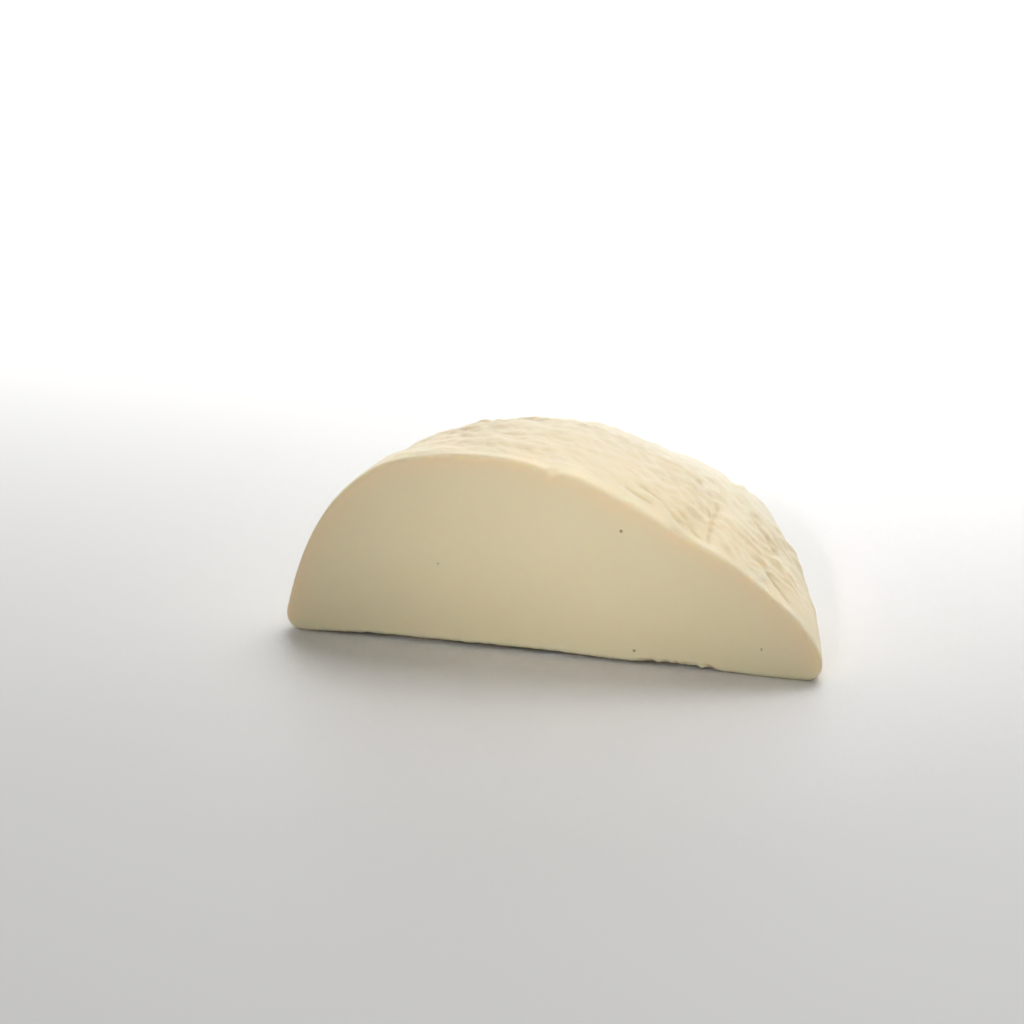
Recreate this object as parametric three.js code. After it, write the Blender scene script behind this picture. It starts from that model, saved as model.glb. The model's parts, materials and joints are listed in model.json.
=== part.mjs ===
// Half of a fresh whey cheese: a round that was drained in a cloth, then cut once with a knife.
// Millimetres, +Z up. The cut runs along X and its flat face looks to -Y.
import * as THREE from 'three';
import { ImprovedNoise } from 'three/addons/math/ImprovedNoise.js';
import { mergeVertices } from 'three/addons/utils/BufferGeometryUtils.js';

// The half as it stands on its flat underside
const CUT_LENGTH = 193.4;
const DEPTH = 104;
const HEIGHT = 70;
const FOOT_ROUNDING = 6.3;
const HALF_LENGTH = CUT_LENGTH / 2;

// Outline of the cut: a steep left shoulder, a flat crown and a long slope to the right
const CROWN_X = -23.2;
const LEFT_WALL = new THREE.Vector2(7.7, 37.3);
const LEFT_CROWN = 49.2;
const RIGHT_CROWN = 50;
const RIGHT_SLOPE = new THREE.Vector2(-2.5, 19);

// Plan and sections behind the cut: how square they are, and where the half is deepest
const DEEPEST_X = 9;
const PLAN_LEFT = { backPower: 2.2, tipPower: 1.5 };
const PLAN_RIGHT = { backPower: 2.9, tipPower: 1 };
const SECTION_POWER = 3.2;

// Folds of the cloth: rounded pads, longer along the cut than across it, with creases between them
const PAD_LENGTH = 24;
const PAD_TURN = 10;
const PAD_HEIGHT = 2.4;
const DIMPLE_SIZE = 0.45;
const DIMPLE_SHARE = 0.4;
const MEAN_FOLD = 0.2;
const SMOOTH_RIM_TURN = 7;
const PLAIN_REACH = 8;
const FOLDED_REACH = 48;

// The cloth's overlap on the right shoulder, a raised lip
const LAP_X = 43.5;
const LAP_TURN = 64;
const LAP_SLANT = 1.1;
const LAP_HEIGHT = 2.5;
const LAP_STEP = 4;
const LAP_FLAT = 10;
const LAP_RUNOUT = 15;
const LAP_SPREAD = 20;

// Broad swells and hollows that make the round uneven, each at a place [x, section angle in degrees]
const SWELL_REACH = 15;
const SWELLS = [
	{ at: [-61, 0], height: 1.2, length: 10, spread: 20 },
	{ at: [-61, 31], height: -1.5, length: 11, spread: 12 },
	{ at: [-9, 50], height: 1, length: 13, spread: 16 },
	{ at: [8, 0], height: 0.7, length: 9, spread: 12 },
	{ at: [45, 0], height: -1.5, length: 13, spread: 14 },
	{ at: [78, 74], height: -1.5, length: 12, spread: 24 },
];

// A chip out of the rim of the cut
const CHIP_X = -1.5;
const CHIP_DEPTH = 1.5;
const CHIP_LENGTH = 2.8;
const CHIP_TURN = 4;

// Creases, each from one place to another as [x, section angle in degrees]
const CREASE_WIDTH = 1.7;
const CREASE_DEPTH = 0.9;
const CREASES = [
	{ from: [24, 12], to: [34, 9] },
	{ from: [26, 19], to: [39, 15] },
	{ from: [37, 13], to: [45, 9.5] },
	{ from: [39, 18], to: [49, 13] },
	{ from: [46, 11], to: [53, 7.5] },
	{ from: [54, 1], to: [52.5, 20] },
	{ from: [52.5, 20], to: [50.5, 28] },
	{ from: [50.5, 28], to: [47, 31] },
	{ from: [50.5, 28], to: [49.5, 41] },
	{ from: [59, 52], to: [71, 50] },
	{ from: [72, 28], to: [83, 17] },
];

// Creases on the back, like those in front: evenly spread, with their slant from side to side
const BACK_CREASES = 12;
const BACK_REACH = 0.79;
const BACK_TURN = 62;
const BACK_TURN_RANGE = 14;
const BACK_CREASE_TURN = 11;
const BACK_CREASE_SLANT = 5;
const BACK_SWAY = 2.4;

// Facets
const STATIONS = 84;
const RIND_ROWS = 60;
const FOOT_ROWS = 4;
const RIM_STEP = 1;
const BELLY_STEP = RIM_STEP + RIND_ROWS;
const FOOT_STEP = BELLY_STEP + FOOT_ROWS;
const AROUND = FOOT_STEP + 1;

const QUARTER_TURN = 90;
const { smoothstep, clamp, mapLinear, degToRad } = THREE.MathUtils;

function cutRim() {
	const leftTip = new THREE.Vector2(-HALF_LENGTH, FOOT_ROUNDING);
	const rightTip = new THREE.Vector2(HALF_LENGTH, FOOT_ROUNDING);
	const crown = new THREE.Vector2(CROWN_X, HEIGHT);
	const beforeCrown = new THREE.Vector2(CROWN_X - LEFT_CROWN, HEIGHT);
	const pastCrown = new THREE.Vector2(CROWN_X + RIGHT_CROWN, HEIGHT);
	const rim = new THREE.CurvePath();
	rim.add(new THREE.CubicBezierCurve(leftTip, leftTip.clone().add(LEFT_WALL), beforeCrown, crown));
	rim.add(new THREE.CubicBezierCurve(crown, pastCrown, rightTip.clone().add(RIGHT_SLOPE), rightTip));
	return rim;
}

// How far the half reaches back from the cut at x
function footDepth(x) {
	const tip = x < DEEPEST_X ? -HALF_LENGTH : HALF_LENGTH;
	const { backPower, tipPower } = x < DEEPEST_X ? PLAN_LEFT : PLAN_RIGHT;
	const toTip = clamp((x - DEEPEST_X) / (tip - DEEPEST_X), 0, 1);
	return DEPTH * (1 - toTip ** backPower) ** (1 / tipPower);
}

// Distance from the foot of the cut to the smooth skin, in the direction of the section angle
function sectionReach(rise, depth, turn) {
	if (rise * depth === 0) return 0;
	const up = Math.cos(degToRad(turn)) / rise;
	const back = Math.sin(degToRad(turn)) / depth;
	return (up ** SECTION_POWER + back ** SECTION_POWER) ** (-1 / SECTION_POWER);
}

function bump(value, centre, spread) {
	return Math.exp(-(((value - centre) / spread) ** 2));
}

const noise = new ImprovedNoise();

// Pads with sharp creases between them, where the noise passes through zero
function pads(x, turn, size) {
	return Math.abs(noise.noise(x / (PAD_LENGTH * size), turn / (PAD_TURN * size), size));
}

function clothFolds(x, turn) {
	const height = pads(x, turn, 1) + DIMPLE_SHARE * pads(x, turn, DIMPLE_SIZE);
	return PAD_HEIGHT * (height - MEAN_FOLD);
}

function clothLap(x, turn) {
	const past = x - LAP_X - LAP_SLANT * Math.max(LAP_TURN - turn, 0);
	const lip = smoothstep(past, 0, LAP_STEP);
	const runout = 1 - smoothstep(past, LAP_FLAT, LAP_FLAT + LAP_RUNOUT);
	return LAP_HEIGHT * lip * runout * bump(turn, LAP_TURN, LAP_SPREAD);
}

function swells(x, turn) {
	let sum = 0;
	for (const { at, height, length, spread } of SWELLS) {
		sum += height * bump(x, at[0], length) * bump(turn, at[1], spread);
	}
	return sum;
}

function rimChip(x, turn) {
	return CHIP_DEPTH * bump(x, CHIP_X, CHIP_LENGTH) * bump(turn, 0, CHIP_TURN);
}

function backCreases() {
	const list = [];
	for (let k = 0; k < BACK_CREASES; k += 1) {
		const x = BACK_REACH * mapLinear(k, 0, BACK_CREASES - 1, -HALF_LENGTH, HALF_LENGTH);
		const turn = BACK_TURN + BACK_TURN_RANGE * Math.sin(k * BACK_SWAY);
		const slant = BACK_CREASE_SLANT * Math.cos(k * BACK_SWAY);
		list.push({ from: [x, turn], to: [x + slant, turn + BACK_CREASE_TURN] });
	}
	return list;
}

// Depth of a crease at a place, measured over the skin
function creaseDepth({ from, to }, x, turn, reach) {
	const arc = degToRad(reach);
	const place = new THREE.Vector3(x, turn * arc, 0);
	const start = new THREE.Vector3(from[0], from[1] * arc, 0);
	const end = new THREE.Vector3(to[0], to[1] * arc, 0);
	const nearest = new THREE.Line3(start, end).closestPointToPoint(place, true, new THREE.Vector3());
	return CREASE_DEPTH * bump(place.distanceTo(nearest), 0, CREASE_WIDTH);
}

const creases = [...CREASES, ...backCreases()];

// Height of the relief over the smooth skin; it dies out towards the tips, and the folds towards the rim
function relief(x, turn, reach) {
	const behindRim = smoothstep(turn, 0, SMOOTH_RIM_TURN);
	const folded = smoothstep(reach, PLAIN_REACH, FOLDED_REACH);
	const uneven = smoothstep(reach, 0, SWELL_REACH);
	const cut = Math.max(...creases.map((crease) => creaseDepth(crease, x, turn, reach)));
	const cloth = clothFolds(x, turn) - cut + clothLap(x, turn);
	return folded * behindRim * cloth + uneven * (swells(x, turn) - rimChip(x, turn));
}

const rim = cutRim();

// Place on the closed skin: along from the left tip to the right one, and a step round the section
function skinPoint(along, step) {
	const { x, y: rimHeight } = rim.getPoint(along);
	const fromTip = HALF_LENGTH - Math.abs(x);
	const notRounded = Math.max(FOOT_ROUNDING - fromTip, 0);
	const drop = Math.sqrt(Math.max(FOOT_ROUNDING ** 2 - notRounded ** 2, 0));
	const floor = FOOT_ROUNDING - drop;
	if (step === 0 || step === AROUND) return new THREE.Vector3(x, 0, floor);

	const turn = Math.min((step - RIM_STEP) / RIND_ROWS, 1) * QUARTER_TURN;
	const smooth = sectionReach(rimHeight - FOOT_ROUNDING, footDepth(x), turn);
	const reach = smooth + relief(x, turn, smooth);
	if (step <= BELLY_STEP) {
		const angle = degToRad(turn);
		return new THREE.Vector3(x, reach * Math.sin(angle), FOOT_ROUNDING + reach * Math.cos(angle));
	}
	const under = degToRad(((step - BELLY_STEP) / FOOT_ROWS) * QUARTER_TURN);
	const inset = Math.min(FOOT_ROUNDING, reach / 2) * (1 - Math.cos(under));
	return new THREE.Vector3(x, reach - inset, FOOT_ROUNDING - drop * Math.sin(under));
}

// A sphere whose poles become the two tips of the cut, with every vertex moved to the skin
function halfCheese() {
	const skin = new THREE.SphereGeometry(1, AROUND, STATIONS);
	const { position, uv } = skin.attributes;
	for (let i = 0; i < position.count; i += 1) {
		const point = skinPoint(1 - uv.getY(i), Math.round(uv.getX(i) * AROUND));
		position.setXYZ(i, point.x, point.y, point.z);
	}
	skin.deleteAttribute('normal');
	skin.deleteAttribute('uv');
	const solid = mergeVertices(skin);

	// The origin goes under the middle of the half
	solid.computeBoundingBox();
	const middle = solid.boundingBox.getCenter(new THREE.Vector3());
	solid.translate(-middle.x, -middle.y, -solid.boundingBox.min.z);
	solid.computeVertexNormals();
	return solid;
}

const curd = new THREE.MeshStandardMaterial({ color: 0xece0c0, roughness: 0.6, metalness: 0 });
const cheese = new THREE.Mesh(halfCheese(), curd);
cheese.name = 'half_cheese';

const part = new THREE.Group();
part.add(cheese);

export default part;
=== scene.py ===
# Half of a fresh whey cheese on a pale floor in soft studio light, its cut face to the front.
import json
import math

import bpy
import numpy as np
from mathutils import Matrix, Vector, noise

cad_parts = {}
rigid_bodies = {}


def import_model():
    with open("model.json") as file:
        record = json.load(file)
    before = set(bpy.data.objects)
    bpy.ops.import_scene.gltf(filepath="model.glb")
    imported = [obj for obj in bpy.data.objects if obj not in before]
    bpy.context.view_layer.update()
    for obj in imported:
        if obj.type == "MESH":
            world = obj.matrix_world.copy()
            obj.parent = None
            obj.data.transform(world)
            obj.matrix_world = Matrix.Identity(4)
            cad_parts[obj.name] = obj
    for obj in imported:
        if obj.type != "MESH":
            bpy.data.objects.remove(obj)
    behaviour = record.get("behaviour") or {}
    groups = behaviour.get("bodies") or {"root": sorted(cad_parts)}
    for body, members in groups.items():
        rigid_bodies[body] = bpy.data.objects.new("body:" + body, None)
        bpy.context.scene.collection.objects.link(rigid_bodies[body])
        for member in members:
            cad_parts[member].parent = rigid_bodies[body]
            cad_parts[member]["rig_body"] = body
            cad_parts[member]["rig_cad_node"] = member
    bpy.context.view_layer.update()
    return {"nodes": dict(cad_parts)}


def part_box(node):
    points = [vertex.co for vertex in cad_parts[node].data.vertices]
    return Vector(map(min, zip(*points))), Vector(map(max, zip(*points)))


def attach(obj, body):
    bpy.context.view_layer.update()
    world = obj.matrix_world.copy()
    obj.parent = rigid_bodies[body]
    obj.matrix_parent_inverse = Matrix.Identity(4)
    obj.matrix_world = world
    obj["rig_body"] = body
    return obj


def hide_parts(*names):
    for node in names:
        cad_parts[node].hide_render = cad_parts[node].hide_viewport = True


MM = 0.001

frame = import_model()
LOW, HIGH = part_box("half_cheese")
CUT_Y = LOW.y

# The same wrinkles in every run
SEED = 5
noise.seed_set(SEED)

# Section angles are counted about a line along the foot of the cut
FOOT_ROUNDING = 6.3 * MM

# Mesh of the curd; a pair of lengths or angles says where something starts and where it is full
GRAIN = 0.78 * MM
DOUBLES = 0.001 * MM
ON_FACE = 0.1 * MM
LEAST_WEIGHT = 0.003
SMOOTHING = 0.5
SKIN_EDGE = (0.3 * MM, 1.5 * MM)
SKIN_PASSES = 20
FLAT_ANGLE = math.radians(1)

# Search for the distance from the rim of the cut
RIM_STATIONS = 130
RIM_SPLIT = 8
RIM_SEARCH = 14 * MM
OUT_OF_REACH = 50 * MM
CHUNK = 2000

# Rim of the cut: crisp on the left, worn to a slant on the right of the chip
CHIP_X = -1.5 * MM
CRISP_RIM = 1.6 * MM
CRISP_FADE = (0.6, 1.4)
CRISP_PASSES = 8
RIM_RISE = (3 * MM, 16 * MM)
# Reach of the painted glow on the cut and the painted highlight on the rind, near the rim
GLOW_REACH = 5.5 * MM
WORN_BAND = 4 * MM
WORN_DROP = 1.4 * MM
WORN_START = 1.6 * MM
WORN_LEAST = 0.55
WORN_GAIN = 0.45
WORN_FULL_X = 30 * MM
WORN_END = (40 * MM, 64 * MM)
WORN_LOSS = 0.85
WORN_FADE = (0.8, 1.8)
WORN_PASSES = 6

# Nick in the rim beside the chip
NICK_DEPTH = 1.4 * MM
NICK_LENGTH = 6 * MM
NICK_EDGE = 0.5 * MM
NICK_FADE = (1.2 * MM, 4 * MM)

# Rind: how the cloth's marks set in behind the cut, above the floor and away from the tips
RIND_EDGE = (2 * MM, 8 * MM)
RIND_FOOT = (0.6 * MM, 5 * MM)
RIND_REACH = (8 * MM, 40 * MM)
PLAIN_RIND = 0.2

# Maps of the rind for the cloth's marks, bent and slanted
MAP_UNIT = 100 * MM
SWAY = 3 * MM
SWAY_SIZE = 14 * MM
SLANT = 0.5

# Plump pads, long folds and fine wrinkles that the cloth left
PAD_STRETCH = 1.1
PAD_SCALE = 0.115
PAD_HEIGHT = 2.3 * MM
PAD_LEVEL = 0.22
PAD_PASSES = 2
FOLD_STRETCH = 1.6
FOLD_SCALE = 0.14
FOLD_OFFSET = 0.9
FOLD_DEPTH = 0.6 * MM
WRINKLE_SCALE = 0.05
WRINKLE_HEIGHT = 0.36 * MM
MIDDLE = 0.5

# Strength of the pads, by patches, by section angle in degrees and by place along the cut
PATCH_SIZE = 26 * MM
PATCH_SLICE = 7
PATCH_MEAN = 0.65
PATCH_RANGE = 0.9
PATCH_LEAST = 0.2
RIM_PADS = 0.3
PADS_RISE = (18, 32)
FAR_SIDE = (42, 54)
FAR_END = (58, 70)
FAR_LOSS = 0.6
FLANK = (12 * MM, 48 * MM)
FLANK_PADS = 0.75
FLANK_BACK = (48, 66)
FLANK_LOSS = 0.4
CALM_LEFT = (36 * MM, 58 * MM)
CALM_LOSS = 0.65
CALM_END = (58, 70)

# Creases that the cloth left, each from one place to another as x in mm and section angle in degrees
CREASES = [
    ((24, 12), (34, 9)),
    ((26, 19), (39, 15)),
    ((37, 13), (45, 9.5)),
    ((39, 18), (49, 13)),
    ((46, 11), (53, 7.5)),
    ((55.4, 5.7), (50.8, 30)),
    ((50.8, 30), (48, 34.5)),
    ((50.8, 30), (50.6, 37.5)),
    ((50.6, 37.5), (49.2, 42)),
    ((59, 52), (71, 50)),
    ((72, 28), (83, 17)),
]
BROAD_CREASE = 3 * MM
BROAD_EDGE = (2 * MM, 6 * MM)
BROAD_PASSES = 40
FINE_MESH = 1.5 * MM
FINE_MESH_FROM = 0.3
CREASE_WIDTH = 0.8 * MM
CREASE_DEPTH = 0.6 * MM
CREASE_TAPER = 0.6
# Share of painted shade in the creases
CREASE_SHADE = 0.7
CREASE_SWAY = 0.9 * MM
CREASE_SWAY_RATE = 200
CREASE_SLICE = 3

# Pinholes in the cut face as x, z and radius in mm
PINHOLES = [(25.0, 47.4, 0.6), (29.9, 4.7, 0.6), (74.9, 9.8, 0.45), (-40.7, 29.4, 0.38)]
PINHOLE_DEPTH = 1.5 * MM
PINHOLE_FLOOR = 0.35
PINHOLE_MESH = 1.8 * MM
PINHOLE_CUTS = 3
ON_CUT = 0.6 * MM

# Lower edge of the cut: how far it is lifted off the floor, as x and lift in mm
LIFTS = [(-93, 0), (-66, 1.5), (0, 1.5), (22, 0.8), (31, 0.8), (34, 1.2), (55, 1), (61, 0.3), (75, 0)]
LIFT_FADE = 5 * MM
UNDERCUT = 22 * MM
UNDERCUT_MARGIN = 3 * MM

# Lower edge of the cut: where it is crumbled, and its crumbs
CRUMBLE_FROM = (29 * MM, 34 * MM)
CRUMBLE_TO = (56 * MM, 61 * MM)
LEAST_CRUMBLE = 0.01
LIFTED_CRUMBS = 0.35
CRUMB_MESH = 2.5 * MM
CRUMB_INWARD = (0.5 * MM, 2.2 * MM)
CRUMB_UPWARD = (0.4 * MM, 2.2 * MM)
CRUMB_SIZE = 2.6 * MM
CRUMB_CONTRAST = 2
CRUMB_LIFT = 0.9 * MM
CRUMB_INSET = 0.8 * MM

# Colours of the curd: its darker and lighter clouds on the cut and the rind, and painted glow, highlight
# and shade
CUT_CLOUDS = ((0.82, 0.715, 0.475, 1), (0.86, 0.76, 0.52, 1))
RIND_CLOUDS = ((0.83, 0.697, 0.435, 1), (0.87, 0.742, 0.475, 1))
# Paler rind towards the back: partly the curd's own colour, partly painted sheen on the far top
PALE_RIND_AND_SHEEN = (0.81, 0.725, 0.525, 1)
# Painted glow on the cut and painted highlight on the rind, near the rim
CUT_GLOW_AT_RIM = (0.87, 0.715, 0.475, 1)
RIND_HIGHLIGHT_AT_RIM = (0.98, 0.86, 0.60, 1)
# Painted shade in the creases
CREASE_SHADE_COLOUR = (0.72, 0.57, 0.28, 1)
# Painted shade in the pinholes
PINHOLE_SHADE_COLOUR = (0.5, 0.44, 0.29, 1)
CLOUD_SCALE = 38.0
CLOUD_DETAIL = 3.0

# Depths behind the cut where the rind and its paler back start and are full; the paler back is partly the
# curd's colour, partly painted sheen
RIND_SKIN = (0.2 * MM, 2.5 * MM)
PALE_BACK_AND_SHEEN = (25 * MM, 70 * MM)

# Finish of the curd; a pair stands for the cut and the rind
ROUGHNESS = (0.6, 0.39)
SOFTNESS = (0.55, 0.35)
SOFT_RADIUS = (1.0, 0.62, 0.3)
SOFT_SCALE = 5 * MM
CURD_IOR = 1.42
CURD_SPECULAR = 0.36
CURD_SHEEN = 0.12
SHEEN_ROUGHNESS = 0.4
CUT_GRAIN_SCALE = 1300.0
CUT_GRAIN_DETAIL = 2.0
CUT_GRAIN_STRENGTH = 0.2
CUT_GRAIN_HEIGHT = 0.1 * MM
RIND_GRAIN_SCALE = 430.0
RIND_GRAIN_DETAIL = 3.0
RIND_GRAIN_HEIGHT = 0.25 * MM

# Sockets of the node that mixes two colours
MIX_SHARE = 0
MIX_FIRST = 6
MIX_SECOND = 7
MIX_RESULT = 2

# Floor, backdrop and surroundings
WHITE = (1, 1, 1, 1)
FLOOR_SIZE = 12
FLOOR_DROP = 0.1 * MM
FLOOR_COLOUR = (0.80, 0.795, 0.775, 1)
FLOOR_ROUGHNESS = 0.5
BACKDROP_PLACE = (0, 3.2, 1.4)
BACKDROP_SIZE = (7, 3.4, 1)
BACKDROP_GLOW = 1.5
WORLD_GLOW = 0.18

# Camera at the photograph's viewing angle
CAMERA_PLACE = (0.53997, -1.86376, 0.65901)
CAMERA_AZIMUTH = math.radians(17.0)
CAMERA_ELEVATION = math.radians(17.8)
CAMERA_LENS = 203.8
SENSOR_WIDTH = 36


def select_only(piece):
    bpy.ops.object.select_all(action="DESELECT")
    piece.select_set(True)
    bpy.context.view_layer.objects.active = piece


def apply_modifier(piece, kind, **settings):
    select_only(piece)
    modifier = piece.modifiers.new(kind.lower(), kind)
    for name, value in settings.items():
        setattr(modifier, name, value)
    bpy.ops.object.modifier_apply(modifier=modifier.name)


def smoothstep(value, start, end):
    t = np.clip((value - start) / (end - start), 0, 1)
    return t * t * (3 - 2 * t)


def fade(value, start, end):
    return 1 - smoothstep(value, start, end)


def places(piece):
    flat = np.empty(len(piece.data.vertices) * 3, np.float32)
    piece.data.vertices.foreach_get("co", flat)
    return flat.reshape(-1, 3).astype(float)


def section(piece):
    """x along the cut, section angle in degrees and reach from the foot of the cut, for each vertex."""
    x, y, z = places(piece).T
    back = y - CUT_Y
    up = z - FOOT_ROUNDING
    return x, np.degrees(np.arctan2(back, up)), np.hypot(back, up)


def sway_at(along, around, level):
    """Smooth random bends for places on the rind."""
    return np.array([noise.noise_vector((a, b, level)) for a, b in zip(along, around)])


def weigh(piece, name, weights):
    """A vertex group with these weights."""
    group = piece.vertex_groups.new(name=name)
    for index in np.flatnonzero(weights > LEAST_WEIGHT):
        group.add([int(index)], float(weights[index]), "REPLACE")
    return name


def keep_shares(piece, name, shares):
    """A number for each vertex that the material reads."""
    attribute = piece.data.attributes.new(name=name, type="FLOAT", domain="POINT")
    attribute.data.foreach_set("value", shares.astype(np.float32))


def soften(piece, name, weights, passes):
    """Smooths the piece where it has weight."""
    group = weigh(piece, name, weights)
    apply_modifier(piece, "SMOOTH", vertex_group=group, factor=SMOOTHING, iterations=passes)


def shift(piece, name, weights, distance, direction="NORMAL"):
    """Moves the surface where it has weight, by this distance at full weight."""
    group = weigh(piece, name, weights)
    apply_modifier(
        piece, "DISPLACE", vertex_group=group, direction=direction, strength=distance, mid_level=0,
    )


def emboss(piece, texture, uv_map, group, height, level):
    """Presses a texture into the surface along one of its maps."""
    apply_modifier(
        piece, "DISPLACE", texture=texture, texture_coords="UV", uv_layer=uv_map,
        vertex_group=group, strength=height, mid_level=level,
    )


def select_places(piece, chosen):
    """Edit mode with only the chosen vertices selected."""
    select_only(piece)
    bpy.ops.object.mode_set(mode="EDIT")
    bpy.ops.mesh.select_mode(type="VERT")
    bpy.ops.mesh.select_all(action="DESELECT")
    bpy.ops.object.mode_set(mode="OBJECT")
    piece.data.vertices.foreach_set("select", chosen)
    bpy.ops.object.mode_set(mode="EDIT")


def refine(piece, chosen, cuts):
    """Smaller faces between the chosen vertices."""
    select_places(piece, chosen)
    bpy.ops.mesh.subdivide(number_cuts=cuts)
    bpy.ops.object.mode_set(mode="OBJECT")


def copy_of_solid():
    select_only(frame["nodes"]["half_cheese"])
    bpy.ops.object.duplicate()
    half = bpy.context.view_layer.objects.active
    half.name = "curd_half"
    half.data.name = "curd_half"
    half.parent = None
    del half["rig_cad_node"]
    del half["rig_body"]
    bpy.ops.object.mode_set(mode="EDIT")
    bpy.ops.mesh.select_all(action="SELECT")
    bpy.ops.mesh.remove_doubles(threshold=DOUBLES)
    bpy.ops.object.mode_set(mode="OBJECT")
    return half


def flatten_underside(half):
    """Makes the underside flat, with few faces behind its front edge."""
    _, y, z = places(half).T
    underside = z < ON_FACE
    select_places(half, underside)
    bpy.ops.transform.resize(value=(1, 1, 0), center_override=(0, 0, 0))
    bpy.ops.object.mode_set(mode="OBJECT")
    select_places(half, underside & (y - CUT_Y > UNDERCUT + UNDERCUT_MARGIN))
    bpy.ops.mesh.dissolve_limited(angle_limit=FLAT_ANGLE)
    bpy.ops.object.mode_set(mode="OBJECT")


def rim_distance(piece):
    """Distance of each vertex from the rim of the cut."""
    x, y, z = places(piece).T
    on_cut = (y - CUT_Y) < ON_FACE
    stations = np.linspace(LOW.x, HIGH.x, RIM_STATIONS)
    which = np.clip(np.searchsorted(stations, x) - 1, 0, len(stations) - 2)
    top = np.zeros(len(stations) - 1)
    np.maximum.at(top, which[on_cut], z[on_cut])
    middle = (stations[:-1] + stations[1:]) / 2
    rim = np.stack([middle, np.full_like(middle, CUT_Y), top], 1)
    corner_left = (LOW.x, CUT_Y, FOOT_ROUNDING)
    corner_right = (HIGH.x, CUT_Y, FOOT_ROUNDING)
    rim = np.vstack([corner_left, rim, corner_right])
    steps = np.linspace(0, 1, RIM_SPLIT, endpoint=False)[:, None]
    fine = np.concatenate([a + steps * (b - a) for a, b in zip(rim[:-1], rim[1:])])
    near = np.full(len(x), OUT_OF_REACH)
    close = np.flatnonzero((y - CUT_Y) < RIM_SEARCH)
    points = np.stack([x, y, z], 1)[close]
    for start in range(0, len(close), CHUNK):
        part = points[start : start + CHUNK]
        gap = np.linalg.norm(part[:, None, :] - fine[None, :, :], axis=2).min(1)
        near[close[start : start + CHUNK]] = gap
    return near


def wear_rim(half, x, behind, z):
    """Wears the rim on the right of the chip, rounds it all along and cuts the nick."""
    gap = rim_distance(half)
    # Share of the painted glow and highlight near the rim
    keep_shares(half, "rim_glow", np.exp(-((gap / GLOW_REACH) ** 2)))
    high = smoothstep(z, *RIM_RISE)

    worn = smoothstep(x, CHIP_X, CHIP_X + WORN_START)
    worn = worn * (WORN_LEAST + WORN_GAIN * smoothstep(x, CHIP_X, WORN_FULL_X))
    worn = worn * (1 - WORN_LOSS * smoothstep(x, *WORN_END))
    slanted = np.clip(1 - behind / WORN_BAND, 0, 1) * fade(gap, WORN_BAND, 2 * WORN_BAND)
    shift(half, "worn band", worn * slanted * high, -WORN_DROP, "Z")
    soften(half, "rim", fade(gap / CRISP_RIM, *CRISP_FADE) * high, CRISP_PASSES)
    soften(half, "soft band", worn * fade(gap / WORN_BAND, *WORN_FADE) * high, WORN_PASSES)

    past_chip = x - CHIP_X
    nicked = smoothstep(past_chip, -NICK_EDGE, NICK_EDGE) * fade(past_chip, NICK_EDGE, NICK_LENGTH)
    shift(half, "nick", nicked * fade(gap, *NICK_FADE) * high, -NICK_DEPTH, "Z")


def map_rind(piece, name, stretch):
    """A UV map that lies along the cut and round the sections, for the cloth's marks."""
    x, turn, reach = section(piece)
    around = np.radians(turn) * reach
    sway = sway_at(x / SWAY_SIZE, around / SWAY_SIZE, stretch)
    along = (x + SWAY * sway[:, 0]) / MAP_UNIT / stretch
    around = (around + SLANT * np.maximum(x, 0) + SWAY * sway[:, 1]) / MAP_UNIT
    corners = np.empty(len(piece.data.loops), np.int32)
    piece.data.loops.foreach_get("vertex_index", corners)
    layer = piece.data.uv_layers.new(name=name)
    on_map = np.stack([along[corners], around[corners]], 1)
    layer.data.foreach_set("uv", on_map.astype(np.float32).ravel())
    return name


def pad_strength(half):
    """How plump the pads are: patchy, weak near the rim and on the far side, calm on the left."""
    x, turn, reach = section(half)
    around = np.radians(turn) * reach
    on_rind = zip(x / PATCH_SIZE, around / PATCH_SIZE)
    patches = np.array([noise.noise((a, b, PATCH_SLICE)) for a, b in on_rind])
    far_side = smoothstep(turn, *FAR_SIDE) * fade(turn, *FAR_END)
    plump = (RIM_PADS + (1 - RIM_PADS) * smoothstep(turn, *PADS_RISE)) * (1 - FAR_LOSS * far_side)
    flank = smoothstep(x, *FLANK) * (1 - FLANK_LOSS * smoothstep(turn, *FLANK_BACK))
    plump = np.maximum(plump, FLANK_PADS * flank)
    calm_left = CALM_LOSS * smoothstep(-x, *CALM_LEFT) * fade(turn, *CALM_END)
    return np.clip(PATCH_MEAN + PATCH_RANGE * patches, PATCH_LEAST, 1) * plump * (1 - calm_left)


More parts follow.
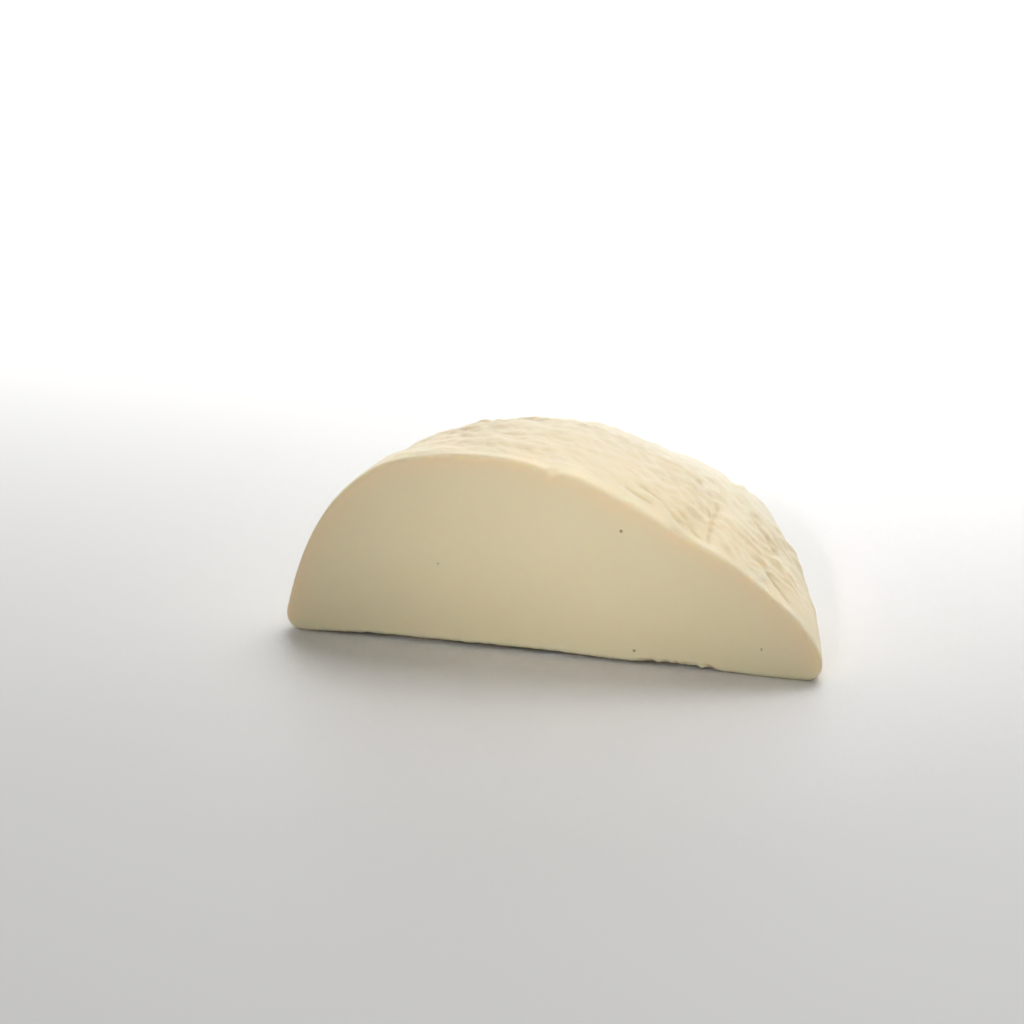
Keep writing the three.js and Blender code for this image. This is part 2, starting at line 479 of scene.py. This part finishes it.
def press_cloth(half, rind_weight):
    """Wrinkles that the cloth pressed into the rind: plump pads, long folds and fine wrinkles."""
    strong = pad_strength(half)
    rind = weigh(half, "rind", rind_weight * (PLAIN_RIND + (1 - PLAIN_RIND) * strong))
    patchy = weigh(half, "patchy rind", rind_weight * strong)
    pad_map = map_rind(half, "pad_map", PAD_STRETCH)
    fold_map = map_rind(half, "fold_map", FOLD_STRETCH)

    pads = bpy.data.textures.new("cloth pads", "CLOUDS")
    pads.noise_type = "HARD_NOISE"
    pads.noise_scale = PAD_SCALE
    pads.noise_depth = 0
    emboss(half, pads, pad_map, patchy, PAD_HEIGHT, PAD_LEVEL)
    apply_modifier(half, "SMOOTH", vertex_group=rind, factor=SMOOTHING, iterations=PAD_PASSES)

    folds = bpy.data.textures.new("cloth folds", "MUSGRAVE")
    folds.musgrave_type = "RIDGED_MULTIFRACTAL"
    folds.noise_scale = FOLD_SCALE
    folds.octaves = 1
    folds.gain = 1
    folds.offset = FOLD_OFFSET
    emboss(half, folds, fold_map, rind, -FOLD_DEPTH, MIDDLE)

    wrinkles = bpy.data.textures.new("fine wrinkles", "CLOUDS")
    wrinkles.noise_scale = WRINKLE_SCALE
    wrinkles.noise_depth = 1
    emboss(half, wrinkles, pad_map, rind, WRINKLE_HEIGHT, MIDDLE)
    half.data.uv_layers.remove(half.data.uv_layers[fold_map])
    half.data.uv_layers.remove(half.data.uv_layers[pad_map])


def crease_weights(half, width):
    """How near each vertex is to a crease of this width."""
    x, turn, reach = section(half)
    arc = np.radians(1) * reach
    around = turn * arc
    sway = sway_at(x * CREASE_SWAY_RATE, around * CREASE_SWAY_RATE, CREASE_SLICE)
    x = x + CREASE_SWAY * sway[:, 0]
    around = around + CREASE_SWAY * sway[:, 1]
    weights = np.zeros(len(x))
    for start, end in CREASES:
        ax, ay = start[0] * MM, start[1] * arc
        bx, by = end[0] * MM, end[1] * arc
        dx, dy = bx - ax, by - ay
        px, py = x - ax, around - ay
        along = np.clip((px * dx + py * dy) / (dx * dx + dy * dy), 0, 1)
        gap = np.hypot(px - along * dx, py - along * dy)
        taper = 1 - CREASE_TAPER * (2 * along - 1) ** 4
        weights = np.maximum(weights, taper * np.exp(-((gap / width) ** 2)))
    return weights


def press_creases(half, rind_weight):
    """Thin creases in a finer mesh, and painted shade in them."""
    refine(half, crease_weights(half, FINE_MESH) * rind_weight > FINE_MESH_FROM, 1)
    behind = places(half)[:, 1] - CUT_Y
    crease_weight = crease_weights(half, CREASE_WIDTH) * smoothstep(behind, *RIND_EDGE)
    shift(half, "creases", crease_weight, -CREASE_DEPTH)
    # Painted shade darkens the creases
    keep_shares(half, "crease_shade", CREASE_SHADE * crease_weight)


def crumbled_share(x):
    return smoothstep(x, *CRUMBLE_FROM) * fade(x, *CRUMBLE_TO)


def wear_lower_edge(half):
    """Lifts the front edge of the underside off the floor and crumbles it."""
    x, y, z = places(half).T
    behind = y - CUT_Y
    refine(half, (crumbled_share(x) > LEAST_CRUMBLE) & (behind < CRUMB_MESH) & (z < CRUMB_MESH), 1)

    x, y, z = places(half).T
    behind = y - CUT_Y
    stations, lifts = np.transpose(LIFTS)
    lifted = np.interp(x / MM, stations, lifts / lifts.max())
    edge = fade(behind, 0, UNDERCUT) * fade(z, 0, LIFT_FADE)
    shift(half, "lifted foot", lifted * edge, lifts.max() * MM, "Z")

    corner = fade(behind, *CRUMB_INWARD) * fade(z, *CRUMB_UPWARD)
    crumbs = weigh(half, "crumbs", np.maximum(crumbled_share(x), LIFTED_CRUMBS * lifted) * corner)
    chips = bpy.data.textures.new("crumbled edge", "CLOUDS")
    chips.noise_scale = CRUMB_SIZE
    chips.noise_depth = 1
    chips.contrast = CRUMB_CONTRAST
    for direction, strength in (("Z", CRUMB_LIFT), ("Y", CRUMB_INSET)):
        apply_modifier(
            half, "DISPLACE", texture=chips, texture_coords="LOCAL",
            vertex_group=crumbs, direction=direction, strength=strength, mid_level=0,
        )


def prick_cut(half):
    """Small holes that the whey left in the cut face, with painted shade in them."""
    x, y, z = places(half).T
    gap = np.min([np.hypot(x - px * MM, z - pz * MM) for px, pz, _ in PINHOLES], axis=0)
    refine(half, (gap < PINHOLE_MESH) & (y - CUT_Y < ON_CUT), PINHOLE_CUTS)

    x, y, z = places(half).T
    holes = np.zeros(len(x))
    for px, pz, radius in PINHOLES:
        share = np.hypot(x - px * MM, z - pz * MM) / (radius * MM)
        holes = np.maximum(holes, fade(share, PINHOLE_FLOOR, 1))
    holes = holes * (y - CUT_Y < ON_CUT)
    shift(half, "pinholes", holes, PINHOLE_DEPTH, "Y")
    # Painted shade darkens the holes
    keep_shares(half, "pinhole_shade", holes)


def carve_half():
    """A fine copy of the solid with the marks of the cloth, the knife and wear."""
    half = copy_of_solid()
    apply_modifier(half, "REMESH", mode="VOXEL", voxel_size=GRAIN, use_smooth_shade=True)
    flatten_underside(half)

    x, _, reach = section(half)
    _, y, z = places(half).T
    behind = y - CUT_Y
    soften(half, "skin", smoothstep(behind, *SKIN_EDGE) * smoothstep(z, *SKIN_EDGE), SKIN_PASSES)
    broad_weight = crease_weights(half, BROAD_CREASE) * smoothstep(behind, *BROAD_EDGE)
    soften(half, "broad creases", broad_weight, BROAD_PASSES)
    wear_rim(half, x, behind, z)

    rind_weight = smoothstep(behind, *RIND_EDGE) * smoothstep(z, *RIND_FOOT)
    rind_weight = rind_weight * smoothstep(reach, *RIND_REACH)
    press_cloth(half, rind_weight)
    press_creases(half, rind_weight)
    wear_lower_edge(half)
    prick_cut(half)
    half.vertex_groups.clear()
    select_only(half)
    bpy.ops.object.shade_smooth()
    return half


def feed(tree, socket, value):
    """Links another node's output to a socket, or sets the socket to a value."""
    if isinstance(value, bpy.types.NodeSocket):
        tree.links.new(value, socket)
    else:
        socket.default_value = value


def add_node(tree, kind, **sockets):
    node = tree.nodes.new(kind)
    for name, value in sockets.items():
        feed(tree, node.inputs[name.replace("_", " ")], value)
    return node


def mixed(tree, share, first, second):
    node = tree.nodes.new("ShaderNodeMix")
    node.data_type = "RGBA"
    feed(tree, node.inputs[MIX_SHARE], share)
    feed(tree, node.inputs[MIX_FIRST], first)
    feed(tree, node.inputs[MIX_SECOND], second)
    return node.outputs[MIX_RESULT]


def depth_share(tree, depth, start, end):
    """A share that grows from 0 to 1 between two depths behind the cut."""
    ramp = add_node(tree, "ShaderNodeMapRange", Value=depth, From_Min=CUT_Y + start, From_Max=CUT_Y + end)
    return ramp.outputs["Result"]


def by_share(tree, share, first, second):
    """A number that goes from the first to the second as the share grows."""
    ramp = add_node(tree, "ShaderNodeMapRange", Value=share, To_Min=first, To_Max=second)
    return ramp.outputs["Result"]


def clouds(tree, place, scale, detail):
    return add_node(tree, "ShaderNodeTexNoise", Vector=place, Scale=scale, Detail=detail).outputs["Fac"]


def shares(tree, name):
    node = tree.nodes.new("ShaderNodeAttribute")
    node.attribute_name = name
    return node.outputs["Fac"]


def curd_material():
    material = bpy.data.materials.new("fresh curd")
    material.use_nodes = True
    tree = material.node_tree
    shader = tree.nodes["Principled BSDF"]
    place = tree.nodes.new("ShaderNodeTexCoord").outputs["Object"]
    depth = add_node(tree, "ShaderNodeSeparateXYZ", Vector=place).outputs["Y"]
    rind = depth_share(tree, depth, *RIND_SKIN)

    cloudy = clouds(tree, place, CLOUD_SCALE, CLOUD_DETAIL)
    cut_colour = mixed(tree, cloudy, *CUT_CLOUDS)
    rind_colour = mixed(tree, cloudy, *RIND_CLOUDS)
    # Paler towards the back: partly the curd's own colour, partly painted sheen on the far top
    rind_colour = mixed(tree, depth_share(tree, depth, *PALE_BACK_AND_SHEEN), rind_colour, PALE_RIND_AND_SHEEN)
    # Painted glow on the cut and painted highlight on the rind, near the rim
    rim_light_share = shares(tree, "rim_glow")
    cut_colour = mixed(tree, rim_light_share, cut_colour, CUT_GLOW_AT_RIM)
    rind_colour = mixed(tree, rim_light_share, rind_colour, RIND_HIGHLIGHT_AT_RIM)
    colour = mixed(tree, rind, cut_colour, rind_colour)
    # Painted shade in the creases
    colour = mixed(tree, shares(tree, "crease_shade"), colour, CREASE_SHADE_COLOUR)
    # Painted shade in the pinholes
    colour = mixed(tree, shares(tree, "pinhole_shade"), colour, PINHOLE_SHADE_COLOUR)

    cut_bump = add_node(
        tree, "ShaderNodeBump", Height=clouds(tree, place, CUT_GRAIN_SCALE, CUT_GRAIN_DETAIL),
        Strength=CUT_GRAIN_STRENGTH, Distance=CUT_GRAIN_HEIGHT,
    )
    rind_bump = add_node(
        tree, "ShaderNodeBump", Height=clouds(tree, place, RIND_GRAIN_SCALE, RIND_GRAIN_DETAIL),
        Strength=rind, Distance=RIND_GRAIN_HEIGHT, Normal=cut_bump.outputs["Normal"],
    )

    finish = {
        "Base Color": colour,
        "Roughness": by_share(tree, rind, *ROUGHNESS),
        "Normal": rind_bump.outputs["Normal"],
        "IOR": CURD_IOR,
        "Specular IOR Level": CURD_SPECULAR,
        "Sheen Weight": CURD_SHEEN,
        "Sheen Roughness": SHEEN_ROUGHNESS,
        "Subsurface Weight": by_share(tree, rind, *SOFTNESS),
        "Subsurface Radius": SOFT_RADIUS,
        "Subsurface Scale": SOFT_SCALE,
    }
    for name, value in finish.items():
        feed(tree, shader.inputs[name], value)
    return material


def floor_material():
    material = bpy.data.materials.new("pale floor")
    material.use_nodes = True
    shader = material.node_tree.nodes["Principled BSDF"]
    shader.inputs["Base Color"].default_value = FLOOR_COLOUR
    shader.inputs["Roughness"].default_value = FLOOR_ROUGHNESS
    return material


def glow_material(name, colour, strength):
    material = bpy.data.materials.new(name)
    material.use_nodes = True
    tree = material.node_tree
    tree.nodes.clear()
    glow = add_node(tree, "ShaderNodeEmission", Color=colour, Strength=strength)
    out = tree.nodes.new("ShaderNodeOutputMaterial")
    tree.links.new(glow.outputs["Emission"], out.inputs["Surface"])
    return material


def add_stage():
    bpy.ops.mesh.primitive_plane_add(size=FLOOR_SIZE, location=(0, 0, -FLOOR_DROP))
    floor = bpy.context.active_object
    floor.name = "floor"
    floor.data.materials.append(floor_material())
    bpy.ops.mesh.primitive_plane_add(size=1, location=BACKDROP_PLACE, rotation=(math.radians(90), 0, 0))
    backdrop = bpy.context.active_object
    backdrop.name = "backdrop"
    backdrop.scale = BACKDROP_SIZE
    backdrop.data.materials.append(glow_material("lit backdrop", WHITE, BACKDROP_GLOW))


def softbox(name, place, aim, size, power, spread=180):
    bpy.ops.object.light_add(type="AREA", location=place)
    light = bpy.context.active_object
    light.name = name
    light.data.shape = "RECTANGLE"
    light.data.size, light.data.size_y = size
    light.data.energy = power
    light.data.spread = math.radians(spread)
    light.rotation_euler = (Vector(aim) - Vector(place)).to_track_quat("-Z", "Y").to_euler()
    light.visible_camera = False
    return light


def add_light():
    world = bpy.data.worlds.new("studio")
    bpy.context.scene.world = world
    world.use_nodes = True
    background = world.node_tree.nodes["Background"]
    background.inputs["Color"].default_value = WHITE
    background.inputs["Strength"].default_value = WORLD_GLOW
    softbox("top softbox", place=(0.14, 0.86, 1.52), aim=(0, 0, 0.03), size=(1.4, 0.9), power=16.3)
    softbox("far floor light", place=(0, 1.1, 1.1), aim=(0, 1.1, 0), size=(3.2, 0.8), power=36, spread=85)
    strip = softbox(
        "front strip", place=(0.03, -1.15, 0.55), aim=(0.012, CUT_Y, 0.053), size=(0.18, 0.07),
        power=0.0475, spread=12,
    )
    # The strip lights the cut and leaves no glint on the rind
    strip.visible_glossy = False
    bpy.context.scene.view_settings.view_transform = "Standard"


def add_camera():
    bpy.ops.object.camera_add(location=CAMERA_PLACE)
    camera = bpy.context.active_object
    back = Vector((
        math.sin(CAMERA_AZIMUTH) * math.cos(CAMERA_ELEVATION),
        -math.cos(CAMERA_AZIMUTH) * math.cos(CAMERA_ELEVATION),
        math.sin(CAMERA_ELEVATION),
    ))
    camera.rotation_euler = (-back).to_track_quat("-Z", "Y").to_euler()
    camera.data.sensor_width = SENSOR_WIDTH
    camera.data.lens = CAMERA_LENS
    bpy.context.scene.camera = camera


add_camera()
add_light()
add_stage()

half = carve_half()
half.data.materials.clear()
half.data.materials.append(curd_material())
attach(half, "root")
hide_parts("half_cheese")
